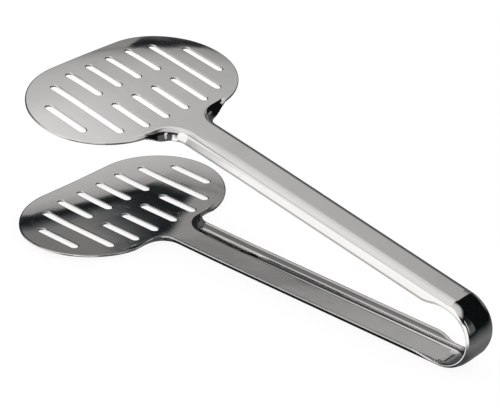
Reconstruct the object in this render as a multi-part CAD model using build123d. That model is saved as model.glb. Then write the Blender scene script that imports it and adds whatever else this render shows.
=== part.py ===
"""Burger tongs pressed from one strip of stainless sheet and bent round into a spring bow.

The strip is modelled in its working regions, which meet face to face: two slotted heads that
grip the burger, two channel-shaped arms that the hand squeezes, and the bow that joins the
arms and springs them open again. The upper half is the mirror image of the lower half.

Each half is drawn with the slots' centre at x = 0, the outer face of the sheet at z = 0 and
the burger side towards +z. At the end everything moves together, so that the origin is at the
middle of the underside: +X runs from the heads to the bow, +Y across and +Z up.
All lengths are in millimetres and all angles in degrees.
"""
import os
from math import asin, cos, degrees, radians, sin, tan

from build123d import *

# Sheet and bends
sheet = 1.0                    # thickness of the stainless sheet
bend_radius = 1.3              # outside radius of the bend between a web and its side walls
wall_splay = 32.0              # how far the side walls lean outward
wall_depth = 4.3               # depth of the side walls along the arms, sheet included

# Head, seen from above
tip_reach = 33.4               # slots' centre to the straight tip edge
tip_edge_length = 41.4         # straight part of the tip edge
tip_corner_radius = 36.2
tip_corner_turn = 56.0
side_radius = 28.7
rear_corner_radius = 36.6
rear_corner_turn = 57.1

# Head, seen from the side and the front
nose_length = 27.7             # the front of the head, which curves gently towards the burger
nose_radius = 272.0            # outside radius of that curve
dish_radius = 877.0            # how gently the head is dished across its width

# Slots
slot_pitch = 12.5
slot_width = 3.7
edge_slot_length = 23.8        # the outermost slot on each side
long_slot_length = 43.8        # the next slot in
short_slot_length = 21.4       # the four middle columns have a short slot at the tip and one behind
short_slot_offset = 14.6       # their centres, either side of the head's centre

# Neck, where the side walls run out along the rear edge of the head
neck_radius_share = 0.79       # of the head's straight rear edge, taken up by the neck's rounding
neck_length = 13.0             # rear edge of the head to the start of the arm
neck_wall_reach = 16.0         # full wall depth out to here, measured across from the middle
neck_wall_fade = 11.0          # the wall runs out to nothing over this width

# Arms
neck_web_width = 16.8          # flat web of the arm beside the head
bow_web_width = 15.4           # flat web of the arm where it meets the bow
opening_angle = 11.0           # between the two halves at rest

# Spring bow
bow_reach = 182.0              # slots' centre to the bow's centre
bow_radius = 15.4              # outside radius
bow_wall_depth = 2.5           # shallower side walls, so that the bow can flex
bow_run = 2.0                  # short straight run at each end of the bow
arm_wall_fade = 10.0           # the arm's walls drop to the bow's depth over this length

# Modelling allowances
overrun = 5.0                  # how far a cutting shape runs past what it cuts

splay = radians(wall_splay)
half_opening = opening_angle / 2
side_turn = 180 - tip_corner_turn - rear_corner_turn
arm_end = bow_reach - bow_run
inner_bend_radius = bend_radius - sheet
# Where the inside of a leaning wall meets the web's inner face, measured in from the outline
wall_inset = sheet / cos(splay) - sheet * tan(splay)
# The strip of web that belongs to the bent edge
edge_strip = wall_inset + bend_radius


def head_edge():
    """The far edge of the head as tangent arcs, from the middle of the tip to the rear edge."""
    tip = Line((-tip_reach, 0), (-tip_reach, tip_edge_length / 2))
    corner = JernArc(tip @ 1, tip % 1, tip_corner_radius, -tip_corner_turn)
    side = JernArc(corner @ 1, corner % 1, side_radius, -side_turn)
    rear = JernArc(side @ 1, side % 1, rear_corner_radius, -rear_corner_turn)
    return [tip, corner, side, rear]


far_edge = head_edge()
rear_corner = far_edge[-1] @ 1
rear_x = rear_corner.X
arm_start = rear_x + neck_length
head_half_width = max(edge.bounding_box().max.Y for edge in far_edge)


def web_half_width(x):
    """Half width of the arm's web, which narrows a little towards the bow."""
    share = (x - rear_x) / (arm_end - rear_x)
    return (neck_web_width + (bow_web_width - neck_web_width) * share) / 2


def block(x_from, x_to, half_width, z_from, z_to):
    """A block across the middle, for keeping or removing a stretch of the strip."""
    size = Box(x_to - x_from, 2 * half_width, z_to - z_from, align=(Align.MIN, Align.CENTER, Align.MIN))
    return Pos(x_from, 0, z_from) * size


def strip_plan():
    """Outline of the flat strip from the tip to just past the arm, with the neck rounded."""
    past_end = arm_end + 2 * overrun
    neck_corner = (rear_x, web_half_width(rear_x))
    edges = far_edge + [
        Line(rear_corner, neck_corner),
        Line(neck_corner, (past_end, web_half_width(past_end))),
        Line((past_end, web_half_width(past_end)), (past_end, 0)),
        Line((past_end, 0), (-tip_reach, 0)),
    ]
    half = make_face(edges)
    plan = half + mirror(half, about=Plane.XZ)
    for side in (1, -1):
        corner = plan.vertices().sort_by_distance((neck_corner[0], side * neck_corner[1], 0))[0]
        plan = fillet(corner, neck_radius_share * (rear_corner.Y - neck_corner[1]))
    return plan


def bend(prism, height, radius):
    """Rounds the bends along the neck and the arms, where the side walls leave the web."""
    front = rear_x - neck_wall_fade / 2
    reach = neck_wall_reach + neck_wall_fade + overrun / 2
    creases = [
        edge for edge in prism.edges()
        if abs(edge.center().Z - height) < sheet / 4
        and edge.center().X > front
        and edge.center().X < arm_end + overrun
        and abs(edge.center().Y) < reach
    ]
    return fillet(creases, radius)


def channel(plan):
    """The outside and the inside of the strip's channel, before the walls' height is trimmed."""
    reach = neck_wall_reach + neck_wall_fade + overrun
    front = rear_x - neck_wall_fade
    past_end = arm_end + 3 * overrun
    middle = Pos((front + past_end) / 2, 0)
    kept = middle * Rectangle(past_end - front, 2 * reach)
    wider = middle * Rectangle(past_end - front + 4 * overrun, 2 * reach + 4 * overrun)
    outside = extrude(plan & kept, wall_depth, taper=-wall_splay)
    cavity = extrude(offset(plan, -wall_inset) & wider, wall_depth - sheet + overrun, taper=-wall_splay)
    return bend(outside, 0, bend_radius), bend(Pos(0, 0, sheet) * cavity, sheet, inner_bend_radius)


def head_profile(depth):
    """Side view of the head's sheet, flat with its front curved up, and depth thick."""
    nose_start = -tip_reach + nose_length
    turn = degrees(asin((nose_length + sheet) / nose_radius))
    lower = JernArc((nose_start, 0), (-1, 0), nose_radius, -turn)
    upper = JernArc((nose_start, depth), (-1, 0), nose_radius - depth, -turn)
    outline = [
        lower,
        upper,
        Line(lower @ 1, upper @ 1),
        Line((nose_start, 0), (arm_start, 0)),
        Line((arm_start, 0), (arm_start, depth)),
        Line((arm_start, depth), (nose_start, depth)),
    ]
    return Plane.XZ * make_face(outline)


def dished(profile):
    """Sweeps a side view across the head along its gentle dish."""
    axis = Axis((0, 0, dish_radius), (1, 0, 0))
    half_turn = degrees(asin((head_half_width + overrun) / dish_radius))
    return revolve(profile.rotate(axis, -half_turn), axis, 2 * half_turn)


def slots():
    """All the slots of one head, as upright cutters."""
    depth = wall_depth + 2 * overrun
    short = [(-short_slot_offset, short_slot_length), (short_slot_offset, short_slot_length)]
    columns = [[(0, edge_slot_length)], [(0, long_slot_length)], short, short]
    cutters = Sketch()
    for number, column in enumerate(columns):
        y = (len(columns) - number - 1 / 2) * slot_pitch
        for x, length in column:
            cutters += Pos(x, y) * SlotOverall(length, slot_width)
            cutters += Pos(x, -y) * SlotOverall(length, slot_width)
    return extrude(cutters, depth, both=True)


def above_neck_walls():
    """The space above the neck's side walls, which run out along the head's rear edge."""
    fade_end = neck_wall_reach + neck_wall_fade
    far = fade_end + 2 * overrun
    top = wall_depth + 2 * overrun
    slope = Spline((neck_wall_reach, wall_depth), (fade_end, 0), tangents=[(1, 0), (1, 0)])
    outline = [
        slope,
        Line((fade_end, 0), (far, 0)),
        Line((far, 0), (far, top)),
        Line((far, top), (neck_wall_reach, top)),
        Line((neck_wall_reach, top), (neck_wall_reach, wall_depth)),
    ]
    face = Plane.YZ * make_face(outline)
    space = Pos(rear_x - 2 * neck_wall_fade, 0, 0) * extrude(face, 2 * neck_wall_fade + neck_length)
    return space + mirror(space, about=Plane.XZ)


def above_arm_walls():
    """The space above the arm's side walls where they drop to the depth of the bow's."""
    fade_start = arm_end - arm_wall_fade
    top = wall_depth + overrun
    slope = Spline((fade_start, wall_depth), (arm_end, bow_wall_depth), tangents=[(1, 0), (1, 0)])
    outline = [
        slope,
        Line((arm_end, bow_wall_depth), (arm_end + overrun, bow_wall_depth)),
        Line((arm_end + overrun, bow_wall_depth), (arm_end + overrun, top)),
        Line((arm_end + overrun, top), (fade_start, top)),
        Line((fade_start, top), (fade_start, wall_depth)),
    ]
    return extrude(Plane.XZ * make_face(outline), head_half_width, both=True)


def head(plan, outside, cavity):
    """A slotted head with its neck, up to the start of the arm."""
    plate = dished(head_profile(sheet)) & extrude(plan, wall_depth + overrun)
    zone_reach = neck_wall_reach + neck_wall_fade
    zone = block(rear_x - neck_wall_fade / 2, arm_start, zone_reach, -overrun, wall_depth + overrun)
    plate -= zone - outside
    inside = Pos(0, 0, -overrun) * extrude(offset(plan, -edge_strip), wall_depth + 2 * overrun)
    walls = outside - cavity - inside
    walls &= block(rear_x - neck_wall_fade, arm_start, head_half_width, -overrun, wall_depth + overrun)
    walls -= above_neck_walls()
    walls &= dished(head_profile(wall_depth + overrun))
    return plate + walls - slots()


def arm(outside, cavity):
    """A channel-shaped arm from the neck to the bow."""
    shell = outside - cavity - above_arm_walls()
    return shell & block(arm_start, arm_end, head_half_width, -overrun, wall_depth + overrun)


def bow_section():
    """Cross-section of the strip in the bow, a shallow channel, drawn as y across and z up."""
    def leaning(half_width, depth, radius):
        top_half_width = half_width + depth * tan(splay)
        left = [(-top_half_width, depth), (-half_width, 0)]
        right = [(half_width, 0), (top_half_width, depth)]
        shape = make_face(Polyline(*left, *right, close=True))
        return fillet(shape.vertices().sort_by(Axis.Y)[:2], radius)

    half_width = bow_web_width / 2
    outer = leaning(half_width, bow_wall_depth, bend_radius)
    inner = leaning(half_width - wall_inset, bow_wall_depth, inner_bend_radius)
    return outer - Pos(0, sheet) * inner


def spring_bow():
    """The bow: a short straight run, the bend, and the mirrored run to the upper arm."""
    section = Plane((arm_end, 0, 0), x_dir=(0, 1, 0), z_dir=(1, 0, 0)) * bow_section()
    run = extrude(section, bow_run)
    axis = Axis((bow_reach, 0, bow_radius), (0, -1, 0))
    bend_start = Pos(bow_run, 0, 0) * section
    turn = revolve(bend_start, axis, 180 - opening_angle)
    return run + turn + mirror(run, about=middle_plane())


def middle_plane():
    """The plane that the two halves mirror in, through the bow's centre."""
    tilt = radians(half_opening)
    return Plane((bow_reach, 0, bow_radius), x_dir=(0, 1, 0), z_dir=(sin(tilt), 0, cos(tilt)))


def tongs():
    """Every region of the strip by name, standing at the part's origin."""
    plan = strip_plan()
    outside, cavity = channel(plan)
    lower_head = head(plan, outside, cavity)
    lower_arm = arm(outside, cavity)
    regions = {
        "lower_head": lower_head,
        "lower_arm": lower_arm,
        "spring_bow": spring_bow(),
        "upper_arm": mirror(lower_arm, about=middle_plane()),
        "upper_head": mirror(lower_head, about=middle_plane()),
    }
    box = Compound(children=[Compound(region.solids()) for region in regions.values()]).bounding_box()
    home = Pos(-(box.min.X + box.max.X) / 2, 0, -box.min.Z)
    return {name: home * region for name, region in regions.items()}


os.makedirs("parts", exist_ok=True)
for name, region in tongs().items():
    export_step(region, f"parts/{name}.step")
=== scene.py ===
"""Burger tongs in polished stainless sheet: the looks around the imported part.

The lower half is shaped once as one sheet, in its own flat frame: the slots' centre at x = 0,
the outer face of the sheet at z = 0 and the burger side towards +z. It is cut into head and
arm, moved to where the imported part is, and mirrored for the upper half. The bow is drawn in the
same frame, and runs from the lower arm round to the upper one.
"""

from math import acos, atan2, cos, pi, radians, sin, sqrt, tan

import bmesh
import bpy
from mathutils import Matrix, Vector


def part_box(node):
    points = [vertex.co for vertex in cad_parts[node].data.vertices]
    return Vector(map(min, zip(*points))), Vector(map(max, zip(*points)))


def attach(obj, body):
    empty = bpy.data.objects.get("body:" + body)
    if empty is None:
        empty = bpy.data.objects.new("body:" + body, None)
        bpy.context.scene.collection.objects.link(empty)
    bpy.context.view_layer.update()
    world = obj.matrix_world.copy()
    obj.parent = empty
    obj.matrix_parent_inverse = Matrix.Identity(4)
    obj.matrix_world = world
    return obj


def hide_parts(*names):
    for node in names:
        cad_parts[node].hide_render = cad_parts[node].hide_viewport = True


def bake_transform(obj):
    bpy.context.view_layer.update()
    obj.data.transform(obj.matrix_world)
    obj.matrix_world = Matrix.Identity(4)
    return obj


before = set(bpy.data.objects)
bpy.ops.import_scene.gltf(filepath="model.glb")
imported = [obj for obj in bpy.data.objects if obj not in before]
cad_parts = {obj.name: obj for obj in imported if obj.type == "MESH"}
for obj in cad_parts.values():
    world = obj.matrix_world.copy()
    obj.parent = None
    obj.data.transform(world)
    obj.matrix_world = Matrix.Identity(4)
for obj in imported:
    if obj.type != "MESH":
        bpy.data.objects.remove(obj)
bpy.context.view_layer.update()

mm = 0.001

# Sheet and bends
sheet = 1.0 * mm
edge_rounding = 0.36 * mm
bend_radius = 3.3 * mm
bend_crease = radians(14)                          # the bend starts with a sharper turn of this much
bend_facet = 1.5 * mm                              # and runs straight for this long before it curves
wall_splay = radians(32)
wall_depth = 4.1 * mm                              # on the outer face; the inner edge stands a little higher
bend_turn = radians(90) - wall_splay


def bend_out(turn):
    """How far out and up from the web's end the bend has come when it has turned this much."""
    return (
        bend_facet * cos(bend_crease) + bend_radius * (sin(turn) - sin(bend_crease)),
        bend_facet * sin(bend_crease) + bend_radius * (cos(bend_crease) - cos(turn)),
    )


bend_reach, bend_height = bend_out(bend_turn)
bend_start = bend_reach - bend_height / tan(bend_turn)      # from the corner line back to where the bend starts

# Head
tip_reach = 33.4 * mm
tip_edge_length = 41.4 * mm
tip_corner_radius, tip_corner_turn = 36.2 * mm, radians(56.0)
side_radius = 28.7 * mm
rear_corner_radius, rear_corner_turn = 36.6 * mm, radians(57.1)
side_turn = pi - tip_corner_turn - rear_corner_turn
rim_width = 5.4 * mm                               # the strip between the drawn plate and the edge of the head
nose_length = 27.7 * mm
nose_radius = 272.0 * mm
dish_radius = 877.0 * mm
dish_fade_start = -28.0 * mm                       # behind here the dish fades out on the far side
rib_radius = 1200.0 * mm                           # the punching hollows each rib between the slots a little
rib_end, rib_side = 21.0 * mm, 45.0 * mm           # the hollows reach this far along and across the head
rib_fade = 9.0 * mm
neck_drop = 0.45 * mm                              # the head stands a little higher than the arm's web
neck_drop_start = 18.0 * mm
neck_drop_end = 75.0 * mm

# Neck, arms and bow
crown_start = 2.6 * mm                             # from here to its near bend the web is buffed round outside
crown_rows = 7
crown_margin = 1.3 * mm                            # the last row stays this far from the bend
crown_depth = 0.2 * mm
crown_fade = 12.0 * mm                             # the rounding grows over this length behind the neck
crown_at_bow = 0.6                                 # how much of it is left beside the bow
neck_radius = 9.5 * mm
neck_length = 13.0 * mm
neck_inset = 3.4 * mm                              # web edge to the plate's own edge, along neck and arm
neck_wall_reach = 16.0 * mm
neck_wall_fade = 11.0 * mm
neck_web_width = 16.8 * mm
bow_web_width = 15.4 * mm
opening_angle = radians(11)
bow_reach = 182.0 * mm
bow_radius = 15.4 * mm
bow_wall_depth = 2.2 * mm
bow_run = 2.0 * mm
arm_wall_fade = 10.0 * mm
arm_end = bow_reach - bow_run
past_end = 3.0 * mm                                # spare length, cut off when the pieces are parted

# Slots: centre x, centre y and length of each one on the far side of the head
slot_pitch = 12.5 * mm
slot_radius = 1.85 * mm
slot_border = 0.5 * mm                             # a strip round each slot, drawn in last
edge_slot, long_slot, short_slot = 23.8 * mm, 43.8 * mm, 21.4 * mm
short_slot_offset = 14.6 * mm
far_slots = [(0, 3.5 * slot_pitch, edge_slot), (0, 2.5 * slot_pitch, long_slot)] + [
    (side * short_slot_offset, row * slot_pitch, short_slot) for row in (0.5, 1.5) for side in (1, -1)
]
slots = far_slots + [(x, -y, length) for x, y, length in far_slots]

# Cuts across the plate. They stay clear of the slots' round ends, and lie close where the shape turns
head_columns = [x * mm for x in (-24, -23, -19, -17, -15, -13, -9, -7, -3, -1, 1, 3, 7, 9, 13, 15, 17, 19, 23)]
neck_columns = [x * mm for x in range(26, 43, 2)] + [46 * mm]
arm_columns = [x * mm for x in range(52, 168, 8)]
fade_columns = [arm_end + (x + 0.5) * mm for x in range(-12, 1)]

# Fineness of the mesh
arc_step = 1.5 * mm
neck_steps = 5                                     # on the straight run from the head's rear corner to the neck
slot_end_sides = 24
bend_steps = 8
bow_steps = 64
edge_segments = 3
wall_rows = (1.0 * mm, 0)                          # rows of the wall, as heights below its top
least_row_share = 0.15                             # of a low wall, that each row keeps
rim_rows = 6                                       # rows between the plate's edge and the bend
weld = 0.02 * mm                                   # points closer than this become one
cut_weld = weld / 4
lying_flat = 0.99                                  # least upright share of a flat face's normal
cut_edge_angle = radians(50)                       # the sheet's cut edges turn by more than this
shading_angle = radians(32)


def smooth(share):
    """Eases a share softly from 0 to 1, and keeps it between them."""
    share = min(max(share, 0), 1)
    return share * share * (3 - 2 * share)


def turned(vector, angle):
    """A flat vector, turned anticlockwise."""
    across_it = Vector((-vector.y, vector.x))
    return vector * cos(angle) + across_it * sin(angle)


def angle_between(first, second):
    """The turn from one flat vector to another, anticlockwise, and at most half a turn either way."""
    return atan2(first.x * second.y - first.y * second.x, first.dot(second))


# Outline of the head and one side of the strip, as tangent runs

def strip_outline():
    """The far edge of the strip, from the middle of the tip to past the bow's end.

    Each run is (start, end, centre, turn), and a straight one has no centre.
    """
    place, heading = Vector((-tip_reach, 0)), Vector((0, 1))
    runs = []

    def straight(length):
        nonlocal place
        end = place + heading * length
        runs.append((place.copy(), end.copy(), None, 0))
        place = end

    def arc(radius, turn):
        nonlocal place, heading
        centre = place + turned(heading, pi / 2 if turn > 0 else -pi / 2) * radius
        end = centre + turned(place - centre, turn)
        runs.append((place.copy(), end.copy(), centre, turn))
        place, heading = end, turned(heading, turn)

    straight(tip_edge_length / 2)
    arc(tip_corner_radius, -tip_corner_turn)
    arc(side_radius, -side_turn)
    arc(rear_corner_radius, -rear_corner_turn)
    straight(place.y - neck_web_width / 2 - neck_radius)
    arc(neck_radius, pi / 2)
    slope = (neck_web_width - bow_web_width) / 2 / (arm_end - place.x)
    heading = turned(heading, -atan2(slope, 1))
    straight(arm_end + 2 * past_end - place.x)
    return runs


outline = strip_outline()
tip_corner, side_arc, rear_corner, neck_corner = (outline[number] for number in (1, 2, 3, 5))
rear_x = rear_corner[1].x
arm_start = rear_x + neck_length


def on_outline(point):
    """The outline's nearest point to a point on the far side."""
    best = None
    for start, end, centre, turn in outline:
        if centre is None:
            along = end - start
            found = start + along * min(max((point - start).dot(along) / along.length_squared, 0), 1)
        else:
            share = min(max(angle_between(start - centre, point - centre) / turn, 0), 1)
            found = centre + turned(start - centre, turn * share)
        if best is None or (found - point).length < (best - point).length:
            best = found
    return best


# Selecting and drawing

def leave_edit():
    if bpy.context.object and bpy.context.object.mode != "OBJECT":
        bpy.ops.object.mode_set(mode="OBJECT")


def deselect_all():
    leave_edit()
    bpy.ops.object.select_all(action="DESELECT")


def take(obj):
    """Makes obj the one selected object and leaves it in object mode."""
    deselect_all()
    obj.select_set(True)
    bpy.context.view_layer.objects.active = obj


def edit(obj, kind="VERT"):
    """Opens obj in edit mode with nothing selected."""
    take(obj)
    bpy.ops.object.mode_set(mode="EDIT")
    bpy.ops.mesh.select_mode(type=kind)
    bpy.ops.mesh.select_all(action="DESELECT")


def pick(obj, kind, wanted):
    """Selects the verts, edges or faces of obj, in edit mode, for which wanted is true."""
    bpy.ops.mesh.select_all(action="DESELECT")
    mesh = bmesh.from_edit_mesh(obj.data)
    for item in [item for item in getattr(mesh, kind) if wanted(item)]:
        item.select_set(True)
    mesh.select_flush_mode()
    bmesh.update_edit_mesh(obj.data)


def start_point(name, place):
    """A mesh of one vertex, ready to be drawn on: a small plane, merged to a point and moved to its place."""
    deselect_all()
    bpy.ops.mesh.primitive_plane_add(size=sheet, location=(0, 0, 0))
    obj = bpy.context.object
    obj.name = obj.data.name = name
    edit(obj)
    bpy.ops.mesh.select_all(action="SELECT")
    bpy.ops.mesh.merge(type="CENTER")
    bpy.ops.mesh.select_all(action="SELECT")
    bpy.ops.transform.translate(value=place)
    return obj


def last_place(obj):
    """Where the selected vertex is."""
    mesh = bmesh.from_edit_mesh(obj.data)
    return next(vert.co.copy() for vert in mesh.verts if vert.select)


def draw_to(obj, place):
    """Draws a straight run from the selected vertex."""
    step = Vector(place) - last_place(obj)
    bpy.ops.mesh.extrude_vertices_move(TRANSFORM_OT_translate={"value": step})


def draw_arc(centre, axis, turn, step_length, radius):
    """Draws an arc from the selected vertex about a centre. Spin counts its angle the other way round."""
    steps = max(2, round(abs(turn) * radius / step_length))
    bpy.ops.mesh.spin(steps=steps, angle=-turn, center=centre, axis=axis)


def flat(point):
    """A point of the outline, on the sheet's outer face."""
    return (point.x, point.y, 0)


# The sheet, from the tip to past the arm's end

def draw_plate():
    """The flat middle of the sheet, inside the rim and the bends, as a filled outline."""
    plate = start_point("half_sheet", (-tip_reach + rim_width, 0, 0))
    draw_to(plate, (-tip_reach + rim_width, tip_edge_length / 2, 0))
    neck_centre = neck_corner[2]
    neck_reach = neck_radius + neck_inset
    rear_reach = rear_corner_radius - rim_width
    between = neck_centre - rear_corner[2]
    leave = atan2(between.y, between.x) + acos((neck_reach + rear_reach) / between.length)
    for run, radius, turn in (
        (tip_corner, tip_corner_radius, -tip_corner_turn),
        (side_arc, side_radius, -side_turn),
        (rear_corner, rear_corner_radius, leave - rear_corner_turn),
    ):
        draw_arc(flat(run[2]), (0, 0, 1), turn, arc_step, radius - rim_width)
    meet = neck_centre - Vector((cos(leave), sin(leave))) * neck_reach
    start = last_place(plate)
    for number in range(neck_steps):
        draw_to(plate, start.lerp(Vector(flat(meet)), (number + 1) / neck_steps))
    draw_arc(flat(neck_centre), (0, 0, 1), pi / 2 - leave, arc_step / 2, neck_reach)
    end = outline[-1][1]
    draw_to(plate, (end.x, end.y - neck_inset, 0))
    draw_to(plate, (end.x, 0, 0))
    bpy.ops.mesh.select_all(action="SELECT")
    bpy.ops.mesh.symmetrize(direction="POSITIVE_Y")
    bpy.ops.mesh.select_all(action="SELECT")
    bpy.ops.mesh.remove_doubles(threshold=weld)
    bpy.ops.mesh.select_all(action="SELECT")
    bpy.ops.mesh.edge_face_add()
    return plate


def slot_cutter():
    """All the slots as one mesh of upright rounded bars, a border wider than the slots."""
    radius = slot_radius + slot_border
    cutter_height = 8 * sheet
    bars = []
    for x, y, length in slots:
        deselect_all()
        reach = length / 2 - slot_radius
        bpy.ops.mesh.primitive_cylinder_add(
            vertices=slot_end_sides, radius=radius, depth=cutter_height, location=(x - reach, y, 0),
            rotation=(0, 0, pi / slot_end_sides),
        )
        bar = bpy.context.object
        bpy.ops.object.transform_apply(location=True, rotation=True, scale=True)
        edit(bar)
        pick(bar, "verts", lambda vert: vert.co.x > x - reach)
        bpy.ops.transform.translate(value=(2 * reach, 0, 0))
        leave_edit()
        bars.append(bar)
    deselect_all()
    for bar in bars:
        bar.select_set(True)
    bpy.context.view_layer.objects.active = bars[0]
    bpy.ops.object.join()
    return bars[0]


def cut_slots(plate):
    """Punches the slots: the plate is made solid, cut with the bars, and only its lower side is kept."""
    edit(plate, "FACE")
    bpy.ops.mesh.select_all(action="SELECT")
    bpy.ops.mesh.extrude_region_move(TRANSFORM_OT_translate={"value": (0, 0, 2 * sheet)})
    bpy.ops.mesh.select_all(action="SELECT")
    bpy.ops.mesh.normals_make_consistent(inside=False)
    leave_edit()
    cutter = slot_cutter()
    take(plate)
    cut = plate.modifiers.new("slots", "BOOLEAN")
    cut.operation, cut.solver, cut.object = "DIFFERENCE", "EXACT", cutter
    bpy.ops.object.modifier_apply(modifier=cut.name)
    bpy.data.objects.remove(cutter)
    edit(plate, "FACE")
    pick(plate, "faces", lambda face: face.normal.z > -lying_flat or face.calc_center_median().z > sheet / 2)
    bpy.ops.mesh.delete(type="FACE")


def cut_grid(plate):
    """Cuts the flat plate across at the columns, and along through the slots and the ribs between them."""
    columns = head_columns + neck_columns + arm_columns + fade_columns
    rows = [row * slot_pitch / 2 for row in range(-7, 8)]
    cuts = [((x, 0, 0), (1, 0, 0)) for x in columns] + [((0, y, 0), (0, 1, 0)) for y in rows]
    for place, normal in cuts:
        bpy.ops.mesh.select_all(action="SELECT")
        bpy.ops.mesh.bisect(plane_co=place, plane_no=normal)
    bpy.ops.mesh.select_all(action="SELECT")
    bpy.ops.mesh.remove_doubles(threshold=weld)


def slot_axis(point):
    """The nearest point of the nearest slot's middle line, and the distance to it."""
    best = None
    for x, y, length in slots:
        reach = length / 2 - slot_radius
        near = Vector((min(max(point.x, x - reach), x + reach), y))
        distance = (point - near).length
        if best is None or distance < best[1]:
            best = (near, distance)
    return best


def round_slot(edge):
    """True for an edge on the outside of a slot's border."""
    limit = slot_radius + slot_border + 5 * weld
    return all(slot_axis(vert.co.xy)[1] < limit for vert in edge.verts)


def edge_rows():
    """Rows of the sheet from the plate's edge outward: (flat share, bend turn, height below the top)."""
    rows = [((number + 1) / rim_rows, 0, None) for number in range(rim_rows)]
    turn_step = (bend_turn - bend_crease) / bend_steps
    rows += [(1, bend_crease + turn_step * number, None) for number in range(bend_steps + 1)]
    return rows + [(1, bend_turn, below) for below in wall_rows]


def wall_share(point):
    """How far the side wall is up at a point of the outline: 0 on the head, 1 along neck and arm."""
    if point.x < rear_x - neck_wall_fade / 2:
        return 0
    return smooth((neck_wall_reach + neck_wall_fade - point.y) / neck_wall_fade)


def wall_length(depth, below):
    """Height of a row of the wall above the bend. A low wall keeps a little of it."""
    length = depth - bend_height
    return max(length - below, least_row_share * length)


def depth_at(x):
    """Depth of the side walls at a place along the arm: it drops to the bow's over the last stretch."""
    return wall_depth - (wall_depth - bow_wall_depth) * smooth((x - arm_end + arm_wall_fade) / arm_wall_fade)


def dish(x, y):
    """Height of the outer face: curved gently across the head, along its front and in each rib."""
    fade_start = dish_fade_start if y > 0 else rear_x
    across = y * y / (2 * dish_radius) * (1 - smooth((x - fade_start) / (arm_start - fade_start)))
    nose = max(nose_length - tip_reach - x, 0)
    from_rib = (y / slot_pitch + 0.5) % 1 - 0.5
    ribbed = (1 - smooth((abs(x) - rib_end) / rib_fade)) * (1 - smooth((abs(y) - rib_side) / rib_fade))
    rib = ribbed * (from_rib * slot_pitch) ** 2 / (2 * rib_radius)
    step = neck_drop * (1 - smooth((x - neck_drop_start) / (neck_drop_end - neck_drop_start)))
    return across + nose_radius - sqrt(nose_radius ** 2 - nose ** 2) + rib + step


def row_place(origin, number):
    """Where a point of the plate's edge goes in a row of the rim or wall."""
    side = 1 if origin.y >= 0 else -1
    start = Vector((origin.x, abs(origin.y)))
    edge = on_outline(start)
    width = (edge - start).length
    outward = (edge - start) / width
    rows = edge_rows()
    level, turn, below = rows[number - 1]
    if number <= rim_rows:
        flat_reach = (width - bend_start) * level
        reach, height = flat_reach, 0
    else:
        share = (number - rim_rows) / (len(rows) - rim_rows)
        flat_reach = width - bend_start + bend_start * share ** 3
        length = 0 if below is None else wall_length(depth_at(edge.x), below)
        out, up = bend_out(turn)
        reach = width - bend_start + out + length * tan(wall_splay)
        height = up + length
    rise = wall_share(edge)
    place = start + outward * (flat_reach + (reach - flat_reach) * rise)
    return Vector((place.x, side * place.y, height * rise + dish(place.x, side * place.y)))


def raise_rows(plate):
    """Extrudes the plate's outer edge row by row into the rim, the bends and the walls."""
    mesh = bmesh.from_edit_mesh(plate.data)
    origin = mesh.verts.layers.float_vector.new("from_plate")
    number = mesh.verts.layers.int.new("row")
    for vert in mesh.verts:
        vert[origin], vert[number] = vert.co, 0
    bpy.ops.mesh.select_mode(type="EDGE")
    end_x = outline[-1][1].x
    pick(plate, "edges", lambda edge: len(edge.link_faces) == 1 and not round_slot(edge) and not all(
        abs(vert.co.x - end_x) < weld for vert in edge.verts
    ))
    for row in range(1, len(edge_rows()) + 1):
        bpy.ops.mesh.extrude_region_move(TRANSFORM_OT_translate={"value": (0, 0, 0)})
        mesh = bmesh.from_edit_mesh(plate.data)
        number = mesh.verts.layers.int["row"]
        for vert in mesh.verts:
            if vert.select:
                vert[number] = row
    mesh = bmesh.from_edit_mesh(plate.data)
    number = mesh.verts.layers.int["row"]
    origin = mesh.verts.layers.float_vector["from_plate"]
    for vert in mesh.verts:
        if vert[number]:
            vert.co = row_place(vert[origin], vert[number])
    bmesh.update_edit_mesh(plate.data)


def close_slots(plate):
    """Extrudes the slots' wide borders in to their real width."""
    bpy.ops.mesh.select_mode(type="EDGE")
    pick(plate, "edges", lambda edge: len(edge.link_faces) == 1 and round_slot(edge))
    bpy.ops.mesh.extrude_region_move(TRANSFORM_OT_translate={"value": (0, 0, 0)})
    mesh = bmesh.from_edit_mesh(plate.data)
    for vert in mesh.verts:
        if vert.select:
            near = slot_axis(vert.co.xy)[0]
            out = (vert.co.xy - near).normalized() * slot_radius
            vert.co.x, vert.co.y = near.x + out.x, near.y + out.y
    for vert in mesh.verts:
        if vert[mesh.verts.layers.int["row"]] == 0:
            vert.co.z = dish(vert.co.x, vert.co.y)
    bmesh.update_edit_mesh(plate.data)


def face_down(obj):
    """Turns the drawn surface so that its outer side is the one away from the burger."""
    bpy.ops.mesh.select_all(action="SELECT")
    bpy.ops.mesh.normals_make_consistent(inside=False)
    mesh = bmesh.from_edit_mesh(obj.data)
    web = next(
        face for face in mesh.faces if abs(face.normal.z) > lying_flat and face.calc_center_median().z < sheet)
    if web.normal.z > 0:
        bpy.ops.mesh.flip_normals()


def thicken(obj):
    """Gives the drawn surface the sheet's thickness, towards the inside, and rounds the cut edges."""
    leave_edit()
    take(obj)
    obj.data.materials.clear()
    obj.data.materials.append(mirror_steel)
    obj.data.materials.append(edge_steel)
    solid = obj.modifiers.new("sheet", "SOLIDIFY")
    solid.thickness, solid.offset, solid.use_even_offset = sheet, -1, True
    solid.material_offset_rim = 1
    bpy.ops.object.modifier_apply(modifier=solid.name)
    edit(obj, "EDGE")
    bpy.ops.mesh.edges_select_sharp(sharpness=cut_edge_angle)
    bpy.ops.mesh.bevel(
        offset=edge_rounding, segments=edge_segments, profile=0.5, affect="EDGES", clamp_overlap=False)
    leave_edit()


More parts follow.
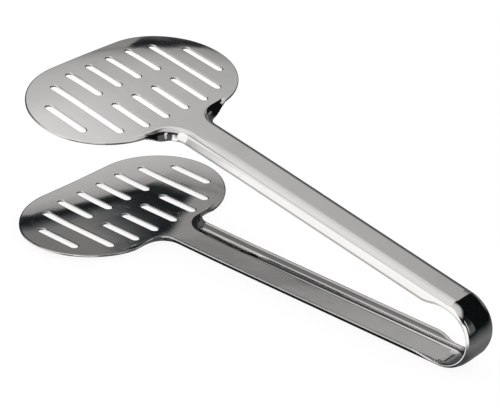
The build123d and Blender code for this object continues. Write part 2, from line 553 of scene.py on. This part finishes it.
def part_off(source, name, cuts):
    """A copy of source between cutting planes. Each cut is a place and the direction that is dropped."""
    deselect_all()
    piece = source.copy()
    piece.data = source.data.copy()
    piece.name = piece.data.name = name
    bpy.context.scene.collection.objects.link(piece)
    edit(piece, "FACE")
    for place, dropped in cuts:
        bpy.ops.mesh.select_all(action="SELECT")
        bpy.ops.mesh.bisect(
            plane_co=place, plane_no=dropped, use_fill=True, clear_outer=True, threshold=cut_weld)
    leave_edit()
    return piece


def bend_line(x):
    """Distance of the bends' start from the middle, at a place along the arm."""
    share = (x - rear_x) / (arm_end - rear_x)
    return (neck_web_width - (neck_web_width - bow_web_width) * share) / 2 - bend_start


def cut_crown(piece, start_x, end_x):
    """Cuts the rows that the rounding of a web needs, fanned out towards its near bend."""
    edit(piece, "FACE")
    for row in range(crown_rows):
        start_y, end_y = (
            crown_start + (bend_line(x) - crown_margin - crown_start) * row / crown_rows
            for x in (start_x, end_x)
        )
        across_row = (end_y - start_y, end_x - start_x or 1, 0)
        bpy.ops.mesh.select_all(action="SELECT")
        bpy.ops.mesh.bisect(plane_co=(start_x, -start_y, 0), plane_no=across_row, threshold=cut_weld)


def crown_at(x, y):
    """How far the outer face of a web is buffed in, at a place along it and across it."""
    bend_y = bend_line(x)
    if not -bend_y - bend_reach < y < -crown_start:
        return 0
    share = min((-y - crown_start) / (bend_y - crown_start), 1)
    depth = crown_depth * (1 - (1 - crown_at_bow) * (x - arm_start) / (arm_end - arm_start))
    return depth * smooth((x - arm_start) / crown_fade) * share ** 2 * (1 - smooth((-y - bend_y) / bend_reach))


def crown(arm):
    """Rounds the outer face of an arm's web towards its near bend, as buffing leaves it."""
    cut_crown(arm, arm_start, arm_end)
    mesh = bmesh.from_edit_mesh(arm.data)
    for vert in mesh.verts:
        if vert.co.z < sheet / 2:
            vert.co.z += crown_at(vert.co.x, vert.co.y)
    bmesh.update_edit_mesh(arm.data)
    leave_edit()


def crown_bow(bow):
    """Rounds the bow's outer face like the arms' at its ends."""
    cut_crown(bow, arm_end, arm_end)
    mesh = bmesh.from_edit_mesh(bow.data)
    for vert in mesh.verts:
        above = (vert.co - middle).dot(across) > 0
        place = flip @ vert.co if above else vert.co
        out = Vector((0, 0, -1))
        if place.x > bow_reach:
            out = Vector((place.x - bow_reach, 0, place.z - bow_radius)).normalized()
        if (place - middle).dot(out) > bow_radius - sheet / 2:
            place = place - out * crown_at(arm_end, place.y)
            vert.co = flip @ place if above else place
    bmesh.update_edit_mesh(bow.data)
    leave_edit()


def draw_bow():
    """The bow: its cross-section drawn, run straight, and spun to the upper arm."""
    start_x = arm_end - past_end
    bow = start_point("bow_sheet", (start_x, 0, 0))
    side = bow_web_width / 2 - bend_start
    draw_to(bow, (start_x, side / 2, 0))
    draw_to(bow, (start_x, side, 0))
    foot = Vector((start_x, side + bend_facet * cos(bend_crease), bend_facet * sin(bend_crease)))
    draw_to(bow, foot)
    centre = foot + Vector((0, -bend_radius * sin(bend_crease), bend_radius * cos(bend_crease)))
    turn = bend_turn - bend_crease
    draw_arc(centre, (1, 0, 0), turn, bend_radius * turn / bend_steps, bend_radius)
    foot = last_place(bow)
    for below in wall_rows:
        length = wall_length(bow_wall_depth, below)
        draw_to(bow, foot + Vector((0, length * tan(wall_splay), length)))
    bpy.ops.mesh.select_all(action="SELECT")
    bpy.ops.mesh.symmetrize(direction="POSITIVE_Y")
    bpy.ops.mesh.select_all(action="SELECT")
    bpy.ops.mesh.extrude_region_move(TRANSFORM_OT_translate={"value": (past_end + bow_run, 0, 0)})
    bpy.ops.mesh.spin(
        steps=bow_steps, angle=pi - opening_angle, center=(bow_reach, 0, bow_radius), axis=(0, 1, 0))
    away = Vector((-cos(opening_angle), 0, sin(opening_angle)))
    bpy.ops.mesh.extrude_region_move(TRANSFORM_OT_translate={"value": away * (past_end + bow_run)})
    bpy.ops.mesh.select_all(action="SELECT")
    bpy.ops.mesh.remove_doubles(threshold=weld)
    face_down(bow)
    return bow


# Placing

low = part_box("lower_head")[0]
home = Matrix.Translation((low.x + tip_reach, 0, 0))
tilt = opening_angle / 2
middle = Vector((bow_reach, 0, bow_radius))
across = Vector((sin(tilt), 0, cos(tilt)))
flip = Matrix.Translation(middle) @ Matrix.Scale(-1, 4, across) @ Matrix.Translation(-middle)


def settle(piece, mirrored):
    """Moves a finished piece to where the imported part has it, mirrored for the upper half."""
    if mirrored:
        piece.data.transform(flip)
        edit(piece, "FACE")
        bpy.ops.mesh.select_all(action="SELECT")
        bpy.ops.mesh.flip_normals()
        leave_edit()
    piece.data.transform(home)
    take(piece)
    bpy.ops.object.shade_smooth_by_angle(angle=shading_angle)


# Materials

smudge_share = 0.6                                 # of a surface's tone; the buffing lines make the rest
waves_per_metre = 90                               # slow waves that rolling leaves in the sheet


def node(tree, kind, **values):
    """A new node with some of its settings."""
    made = tree.nodes.new(kind)
    for name, value in values.items():
        setattr(made, name, value)
    return made


def link(tree, start, end):
    tree.links.new(start, end)


def feed(tree, socket, value):
    """Sets a socket to a plain value, or joins it to another socket."""
    if isinstance(value, bpy.types.NodeSocket):
        link(tree, value, socket)
    else:
        socket.default_value = value


def reckon(tree, operation, *inputs):
    """A Math node; each input is a number or a socket."""
    made = node(tree, "ShaderNodeMath", operation=operation)
    for socket, value in zip(made.inputs, inputs):
        feed(tree, socket, value)
    return made.outputs[0]


def blended(tree, share, first, second):
    """A colour between two others."""
    made = node(tree, "ShaderNodeMix", data_type="RGBA")
    factor, colour_a, colour_b = (made.inputs[number] for number in (0, 6, 7))
    for socket, value in ((factor, share), (colour_a, first), (colour_b, second)):
        feed(tree, socket, value)
    return made.outputs[2]


def ranged(tree, value, start, end):
    """Maps start..end softly to 0..1."""
    made = node(tree, "ShaderNodeMapRange", interpolation_type="SMOOTHSTEP")
    for name, given in (("Value", value), ("From Min", start), ("From Max", end)):
        feed(tree, made.inputs[name], given)
    return made.outputs["Result"]


def noise(tree, vector, scale, detail):
    """Soft noise from 0 to 1, with scale counted per metre."""
    made = node(tree, "ShaderNodeTexNoise")
    for name, value in (("Vector", vector), ("Scale", scale), ("Detail", detail)):
        feed(tree, made.inputs[name], value)
    return made.outputs["Fac"]


def stretched(tree, vector, along, over):
    """A vector scaled by one number along the tongs and in height, and by another across them."""
    scales = node(tree, "ShaderNodeCombineXYZ")
    for socket, value in zip(scales.inputs, (along, over, along)):
        feed(tree, socket, value)
    made = node(tree, "ShaderNodeVectorMath", operation="MULTIPLY")
    link(tree, vector, made.inputs[0])
    link(tree, scales.outputs[0], made.inputs[1])
    return made.outputs[0]


def effect(name, inputs, outputs):
    """An empty node group with named number inputs after its Vector, and named number outputs."""
    tree = bpy.data.node_groups.new(name, "ShaderNodeTree")
    tree.interface.new_socket("Vector", in_out="INPUT", socket_type="NodeSocketVector")
    for label, value in inputs.items():
        socket = tree.interface.new_socket(label, in_out="INPUT", socket_type="NodeSocketFloat")
        socket.default_value = value
    for label in outputs:
        tree.interface.new_socket(label, in_out="OUTPUT", socket_type="NodeSocketFloat")
    return tree, node(tree, "NodeGroupInput").outputs, node(tree, "NodeGroupOutput").inputs


def make_buffing():
    """Fine lines left by the buffing wheel, which ran along the tongs."""
    tree, given, made = effect("buffing lines", {"Lines per metre": 1500, "Breaks per metre": 45}, ["Lines"])
    lines = stretched(tree, given["Vector"], given["Breaks per metre"], given["Lines per metre"])
    grain = noise(tree, lines, scale=1, detail=3)
    link(tree, ranged(tree, grain, start=0.25, end=0.75), made["Lines"])
    return tree


def make_handling():
    """Soft smudges where a hand was, and sparse hairlines from the drawer and the dish rack."""
    tree, given, made = effect(
        "handling marks", {"Smudges per metre": 38, "Hairline width": 0.006}, ["Smudges", "Hairlines"])
    cloud = noise(tree, given["Vector"], given["Smudges per metre"], detail=4)
    link(tree, ranged(tree, cloud, start=0.44, end=0.68), made["Smudges"])
    swept = noise(tree, stretched(tree, given["Vector"], along=25, over=160), scale=1, detail=1)
    away = reckon(tree, "ABSOLUTE", reckon(tree, "SUBTRACT", swept, 0.5))
    drawn = ranged(tree, away, start=given["Hairline width"], end=0)
    broken = ranged(tree, noise(tree, given["Vector"], scale=110, detail=2), start=0.52, end=0.6)
    link(tree, reckon(tree, "MULTIPLY", drawn, broken), made["Hairlines"])
    return tree


def placed(tree, group, vector, **values):
    """A node group in a material, with its own values."""
    made = node(tree, "ShaderNodeGroup", node_tree=group)
    link(tree, vector, made.inputs["Vector"])
    for name, value in values.items():
        made.inputs[name.replace("_", " ")].default_value = value
    return made.outputs


def bumped(tree, height, distance, normal=None):
    """A normal that a height from 0 to 1 roughens by a distance, on top of another normal."""
    made = node(tree, "ShaderNodeBump")
    made.inputs["Strength"].default_value = 1
    made.inputs["Distance"].default_value = distance
    link(tree, height, made.inputs["Height"])
    if normal:
        link(tree, normal, made.inputs["Normal"])
    return made.outputs[0]


def steel_material(name, clean, handled, roughness, line_depth, wave_depth, **lines):
    """Stainless steel in a clean and a handled tone, with its roughness where smooth, smudged and scratched."""
    material = bpy.data.materials.new(name)
    material.use_nodes = True
    tree = material.node_tree
    shader = tree.nodes["Principled BSDF"]
    shader.inputs["Metallic"].default_value = 1
    spot = node(tree, "ShaderNodeTexCoord").outputs["Object"]
    buffed = placed(tree, buffing, spot, **lines)["Lines"]
    marks = placed(tree, handling, spot)
    worn = reckon(tree, "MULTIPLY", buffed, 1 - smudge_share)
    tone = reckon(tree, "MULTIPLY_ADD", marks["Smudges"], smudge_share, worn)
    link(tree, blended(tree, tone, clean, handled), shader.inputs["Base Color"])
    untouched, smudged, scratched = roughness
    rough = reckon(tree, "MULTIPLY_ADD", tone, smudged - untouched, untouched)
    rough = reckon(tree, "MULTIPLY_ADD", marks["Hairlines"], scratched - smudged, rough)
    link(tree, rough, shader.inputs["Roughness"])
    rolled = noise(tree, spot, waves_per_metre, detail=1)
    normal = bumped(tree, buffed, line_depth, bumped(tree, rolled, wave_depth))
    link(tree, normal, shader.inputs["Normal"])
    return material


buffing = make_buffing()
handling = make_handling()
mirror_steel = steel_material(
    "mirror_polished_steel", clean=(0.72, 0.708, 0.69, 1), handled=(0.655, 0.645, 0.63, 1),
    roughness=(0.02, 0.05, 0.16), line_depth=0.0008 * mm, wave_depth=0.012 * mm,
)
edge_steel = steel_material(
    "tumbled_cut_edge_steel", clean=(0.66, 0.65, 0.634, 1), handled=(0.52, 0.512, 0.5, 1),
    roughness=(0.08, 0.2, 0.3), line_depth=0.006 * mm, wave_depth=0.05 * mm,
    Lines_per_metre=2600, Breaks_per_metre=900,
)


# The build

plate = draw_plate()
cut_slots(plate)
cut_grid(plate)
raise_rows(plate)
close_slots(plate)
face_down(plate)
thicken(plate)
head_cuts = [((arm_start, 0, 0), (1, 0, 0))]
arm_cuts = [((arm_start, 0, 0), (-1, 0, 0)), ((arm_end, 0, 0), (1, 0, 0))]
lower_head = part_off(plate, "lower_head_sheet", head_cuts)
upper_head = part_off(plate, "upper_head_sheet", head_cuts)
lower_arm = part_off(plate, "lower_arm_channel", arm_cuts)
upper_arm = part_off(plate, "upper_arm_channel", arm_cuts)
bpy.data.objects.remove(plate)
crown(lower_arm)
crown(upper_arm)

bow_sheet = draw_bow()
thicken(bow_sheet)
end_place = flip @ Vector((arm_end, 0, 0))
end_out = flip.to_3x3() @ Vector((-1, 0, 0))
bow = part_off(bow_sheet, "spring_bow_strip", [((arm_end, 0, 0), (-1, 0, 0)), (end_place, end_out)])
bpy.data.objects.remove(bow_sheet)
crown_bow(bow)

for piece, mirrored in (
    (lower_head, False), (lower_arm, False), (bow, False), (upper_arm, True), (upper_head, True)
):
    settle(piece, mirrored)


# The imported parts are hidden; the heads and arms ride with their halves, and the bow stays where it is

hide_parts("lower_head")
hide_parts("lower_arm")
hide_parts("spring_bow")
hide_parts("upper_arm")
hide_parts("upper_head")
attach(lower_head, "lower_half")
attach(lower_arm, "lower_half")
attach(upper_arm, "upper_half")
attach(upper_head, "upper_half")
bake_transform(bow)


# Stage, camera and light

dark_tint, bright_lift = (0.84, 1.0, 1.08), (0.005, 0, 0.005)
plain_from, lift_from, lift_over = 0.2, 0.7, 0.4   # brightness where the cool tint ends and the lift begins
brightest = 2                                      # no panel is brighter than this

floor_size, floor_drop = 6, 0.3 * mm               # the floor lies a little lower, clear of the resting face
floor_grey, floor_glow, floor_roughness = 0.12, 0.9, 0.9

camera_place = (446.195 * mm, -546.907 * mm, 415.103 * mm)
camera_azimuth, camera_height, camera_roll = radians(129.707), radians(-28.529), radians(2.189)
camera_lens, camera_sensor = 134.689, 36


def tinted(level):
    """The studio's light as a colour: cool where it is dark, with a trace of pink where it is bright."""
    plain = smooth(level / plain_from)
    lifted = smooth((level - lift_from) / lift_over)
    return [level * (dark + (1 - dark) * plain + lift * lifted) for dark, lift in zip(dark_tint, bright_lift)]


def ramp(tree, share, stops):
    """A ramp through (height in degrees, brightness, cover), scaled down because a ramp ends at 1."""
    made = node(tree, "ShaderNodeValToRGB")
    link(tree, share, made.inputs["Fac"])
    elements = made.color_ramp.elements
    for _ in stops[2:]:
        elements.new(0.5)
    for element, (height, level, cover) in zip(elements, stops):
        element.position = height / 180 + 0.5
        element.color = [channel / brightest for channel in tinted(level)] + [cover]
    return made.outputs["Color"], made.outputs["Alpha"]


# What the steel reflects. A dark room with a pale table in front, in (height, brightness, cover) steps,
# and panels in it: middle azimuth, half width, edge softness, steps. All angles are in degrees:
# azimuth 0 looks along +X and 90 along +Y.
room = [
    (-90, 0.1, 1), (-62, 0.07, 1), (-45, 0.14, 1), (-30, 0.2, 1), (-15, 0.11, 1), (-8, 0.05, 1),
    (-2, 0.008, 1), (1, 0.04, 1), (5, 0.13, 1), (19, 0.12, 1), (26, 0.03, 1), (48, 0.008, 1),
    (58, 0.75, 1), (90, 1.0, 1),
]
panels = {
    "overhead sheet": (183, 77, 2, [
        (30.15, 0.01, 0), (30.5, 0.34, 1), (31.2, 0.4, 1), (33, 0.54, 1), (36, 0.62, 1), (41, 0.71, 1),
        (47, 0.92, 1), (56, 1.02, 1), (90, 1.02, 1)]),
    "grey wall": (120, 16.5, 0.5, [
        (-5, 0.1, 0), (3, 0.1, 1), (16, 0.1, 1), (22, 0.22, 1), (26.6, 0.24, 1), (27.6, 0.13, 1),
        (28.4, 0.05, 1), (29.2, 0.01, 1), (30, 0.008, 0)]),
    "grey stand": (129.85, 2.0, 0.25, [
        (26.5, 0.27, 0), (27.5, 0.3, 1), (30.2, 0.36, 1), (31, 0.38, 0)]),
    "edge of the sheet": (100, 16, 12, [
        (28, 0.3, 0), (31, 0.36, 1), (36, 0.45, 1), (41.5, 0.52, 1), (44, 0.7, 0)]),
    "black wall": (72, 32, 0.6, [
        (-3, 0.008, 0), (0, 0.006, 1), (49, 0.006, 1), (56, 0.02, 0)]),
    "black boom": (157, 19.5, 1.5, [
        (-10, 0.01, 1), (40, 0.03, 1), (50, 0.09, 1), (61, 0.06, 1), (64, 0.2, 0)]),
    "dark board": (-157, 24, 3, [
        (30, 0.04, 0), (33, 0.05, 1), (52, 0.07, 1), (57, 0.4, 0)]),
    "dark gap": (-175, 14, 5, [
        (57, 0.14, 0), (62, 0.12, 1), (76, 0.16, 1), (82, 0.4, 0)]),
    "side softbox": (-87, 32, 3, [
        (3, 0.3, 0), (6, 0.5, 1), (19, 0.62, 1), (24.5, 1.3, 1), (75, 1.43, 1), (85, 1.2, 0)]),
    "window strip": (10, 7, 2, [
        (6, 0.4, 0), (12, 0.7, 1), (26, 1.2, 1), (40, 1.3, 1), (44, 1.0, 0)]),
    "front fill": (88, 14, 4, [
        (0, 0.1, 0), (4, 0.22, 1), (18, 0.2, 1), (24, 0.03, 0)]),
    "side sheet": (-128, 9, 3, [
        (18, 0.1, 0), (20, 0.16, 1), (25, 0.22, 1), (28, 0.6, 1), (34, 0.8, 1), (44, 0.9, 1),
        (48, 1.2, 1), (60, 1.2, 1), (66, 0.9, 0)]),
    "lit table in front": (-128, 40, 12, [
        (-70, 0.4, 0), (-45, 1.3, 1), (-12, 1.43, 1), (-5, 1.2, 0)]),
    "standing softbox": (-46, 17, 3, [
        (-38, 0.3, 0), (-30, 0.45, 1), (-20, 1.3, 1), (22, 1.43, 1), (28, 1.2, 0)]),
}


def studio_world():
    """A world that is plain white, except in the steel, which reflects the room and its panels."""
    world = bpy.data.worlds.new("studio")
    world.use_nodes = True
    tree = world.node_tree
    direction = node(tree, "ShaderNodeSeparateXYZ")
    link(tree, node(tree, "ShaderNodeTexCoord").outputs["Generated"], direction.inputs[0])
    x, y, z = direction.outputs
    height = reckon(tree, "MULTIPLY_ADD", reckon(tree, "ARCSINE", z), 1 / pi, 0.5)
    azimuth = reckon(tree, "DEGREES", reckon(tree, "ARCTAN2", y, x))
    shown = ramp(tree, height, room)[0]
    for panel_azimuth, half_width, softness, steps in panels.values():
        colour, cover = ramp(tree, height, steps)
        turn = reckon(tree, "WRAP", reckon(tree, "SUBTRACT", azimuth, panel_azimuth), 180, -180)
        side = ranged(tree, reckon(tree, "ABSOLUTE", turn), half_width + softness, half_width - softness)
        shown = blended(tree, reckon(tree, "MULTIPLY", side, cover), shown, colour)
    bright = node(tree, "ShaderNodeVectorMath", operation="SCALE")
    link(tree, shown, bright.inputs[0])
    bright.inputs["Scale"].default_value = brightest
    path = node(tree, "ShaderNodeLightPath")
    mirrored = reckon(tree, "MAXIMUM", path.outputs["Is Glossy Ray"], path.outputs["Is Transmission Ray"])
    colour = blended(tree, mirrored, (1, 1, 1, 1), bright.outputs[0])
    link(tree, colour, tree.nodes["Background"].inputs["Color"])
    bpy.context.scene.world = world


def pale_floor():
    """A white table that keeps the tongs' soft shadow. In the steel, the studio's own table shows."""
    deselect_all()
    bpy.ops.mesh.primitive_plane_add(size=floor_size, location=(0, 0, -floor_drop))
    floor = bpy.context.object
    floor.name = "floor"
    material = bpy.data.materials.new("pale_floor")
    material.use_nodes = True
    tree = material.node_tree
    shader = tree.nodes["Principled BSDF"]
    shader.inputs["Base Color"].default_value = (floor_grey, floor_grey, floor_grey, 1)
    shader.inputs["Roughness"].default_value = floor_roughness
    shader.inputs["Specular IOR Level"].default_value = 0
    shader.inputs["Emission Color"].default_value = (floor_glow, floor_glow, floor_glow, 1)
    shader.inputs["Emission Strength"].default_value = 1
    path = node(tree, "ShaderNodeLightPath")
    mixed = node(tree, "ShaderNodeMixShader")
    link(tree, path.outputs["Is Glossy Ray"], mixed.inputs[0])
    link(tree, shader.outputs[0], mixed.inputs[1])
    link(tree, node(tree, "ShaderNodeBsdfTransparent").outputs[0], mixed.inputs[2])
    link(tree, mixed.outputs[0], tree.nodes["Material Output"].inputs["Surface"])
    floor.data.materials.append(material)


studio_world()
pale_floor()

camera_data = bpy.data.cameras.new("camera")
camera_data.sensor_width, camera_data.lens = camera_sensor, camera_lens
camera = bpy.data.objects.new("camera", camera_data)
bpy.context.scene.collection.objects.link(camera)
upright = Matrix.Rotation(pi / 2, 4, "X")
aimed = Matrix.Rotation(camera_azimuth - pi / 2, 4, "Z") @ Matrix.Rotation(camera_height, 4, "X")
camera.matrix_world = Matrix.Translation(camera_place) @ aimed @ upright @ Matrix.Rotation(camera_roll, 4, "Z")
bpy.context.scene.camera = camera

view = bpy.context.scene.view_settings
view.view_transform = "Standard"
